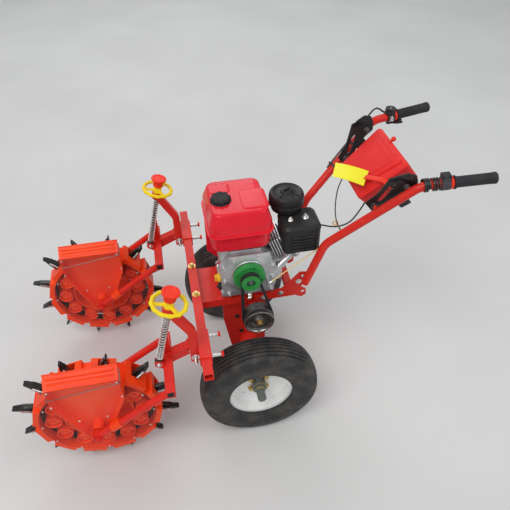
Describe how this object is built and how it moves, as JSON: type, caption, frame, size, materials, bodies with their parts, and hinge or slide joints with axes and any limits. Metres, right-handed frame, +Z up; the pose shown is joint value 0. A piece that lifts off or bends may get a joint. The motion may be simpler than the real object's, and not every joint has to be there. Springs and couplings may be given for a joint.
{
  "type": "two-row seeder",
  "caption": "Walk-behind row seeder: engine over a wheel axle, toolbar with screw-set swing arms, beaked seed drums with side hoppers, handlebars behind.",
  "frame": {"origin": "on the floor, midway between the front beaks and the ends of the grips, on the machine's centre line", "axes": "+X forward in the direction of travel, +Y to the left, +Z up"},
  "size_m": [1.4965, 0.829, 0.9639],
  "materials": {
    "red_paint": "gloss",
    "red_enamel": "high gloss",
    "red_plastic": "moulded",
    "orange_plastic": "moulded",
    "clear_plastic": "clear sheet",
    "yellow_plastic": "moulded",
    "black_plastic": "satin",
    "grip_rubber": "matt",
    "black_steel": "satin black",
    "cast_alloy": "as cast",
    "green_paint": "gloss",
    "belt_rubber": "matt",
    "cable_black": "satin",
    "dark_steel": "machined",
    "zinc": "zinc plated",
    "tyre": "dusty",
    "white_paint": "gloss"
  },
  "bodies": {
    "root": {"deck": "red_paint", "toolbar": "red_paint", "gear_case": "red_paint", "handle_brackets": "red_paint", "handlebar_left": "red_paint", "handlebar_right": "red_paint", "grip_left": "grip_rubber", "grip_right": "grip_rubber", "control_left": "black_plastic", "control_right": "black_plastic", "console": "red_plastic", "console_bracket": "black_steel", "crankcase": "cast_alloy", "cylinder": "cast_alloy", "carburettor": "cast_alloy", "fuel_tank": "red_enamel", "fuel_cap": "black_plastic", "air_cleaner": "black_plastic", "muffler": "black_steel", "shroud": "red_enamel", "clutch": "green_paint", "v_belt": "belt_rubber", "driven_pulley": "dark_steel", "throttle_cable": "cable_black", "clutch_cable": "cable_black", "clamp_left": "red_paint", "handwheel_left": "yellow_plastic", "clamp_right": "red_paint", "handwheel_right": "yellow_plastic"},
    "wheel_left": {"tyre_left": "tyre", "rim_left": "white_paint", "hub_left": "dark_steel"},
    "wheel_right": {"tyre_right": "tyre", "rim_right": "white_paint", "hub_right": "dark_steel"},
    "arm_left": {"swing_frame_left": "red_paint", "fork_left": "red_paint", "hopper_left": "orange_plastic", "hopper_window_left": "clear_plastic"},
    "screw_left": {"screw_left": "red_paint", "spring_left": "zinc"},
    "drum_left": {"drum_shell_left": "orange_plastic", "drum_cover_left": "clear_plastic", "drum_beaks_left": "black_steel"},
    "arm_right": {"swing_frame_right": "red_paint", "fork_right": "red_paint", "hopper_right": "orange_plastic", "hopper_window_right": "clear_plastic"},
    "screw_right": {"screw_right": "red_paint", "spring_right": "zinc"},
    "drum_right": {"drum_shell_right": "orange_plastic", "drum_cover_right": "clear_plastic", "drum_beaks_right": "black_steel"}
  },
  "joints": [
    {"name": "wheel_left_roll", "type": "hinge", "parent": "root", "child": "wheel_left", "pos_m": [-0.0465, 0.272, 0.2075], "axis": [0, 1, 0], "continuous": true},
    {"name": "wheel_right_roll", "type": "hinge", "parent": "root", "child": "wheel_right", "pos_m": [-0.0465, -0.272, 0.2075], "axis": [0, 1, 0], "continuous": true},
    {"name": "arm_left_lift", "type": "hinge", "parent": "root", "child": "arm_left", "pos_m": [0.1655, 0.255, 0.457], "axis": [0, -1, 0], "range_deg": [0, 14], "deforming": ["spring_left"]},
    {"name": "drum_left_roll", "type": "hinge", "parent": "arm_left", "child": "drum_left", "pos_m": [0.4925, 0.285, 0.255], "axis": [0, 1, 0], "continuous": true},
    {"name": "screw_left_swing", "type": "hinge", "parent": "arm_left", "child": "screw_left", "pos_m": [0.2725, 0.293, 0.45], "axis": [0, -1, 0], "range_deg": [-13.21, 0]},
    {"name": "arm_right_lift", "type": "hinge", "parent": "root", "child": "arm_right", "pos_m": [0.1655, -0.315, 0.457], "axis": [0, -1, 0], "range_deg": [0, 14], "deforming": ["spring_right"]},
    {"name": "drum_right_roll", "type": "hinge", "parent": "arm_right", "child": "drum_right", "pos_m": [0.4925, -0.285, 0.255], "axis": [0, 1, 0], "continuous": true},
    {"name": "screw_right_swing", "type": "hinge", "parent": "arm_right", "child": "screw_right", "pos_m": [0.2725, -0.277, 0.45], "axis": [0, -1, 0], "range_deg": [-13.21, 0]}
  ],
  "couplings": [
    {"joint": "screw_left_swing", "follows": "arm_left_lift", "ratio": -0.9076},
    {"joint": "screw_right_swing", "follows": "arm_right_lift", "ratio": -0.9076}
  ]
}
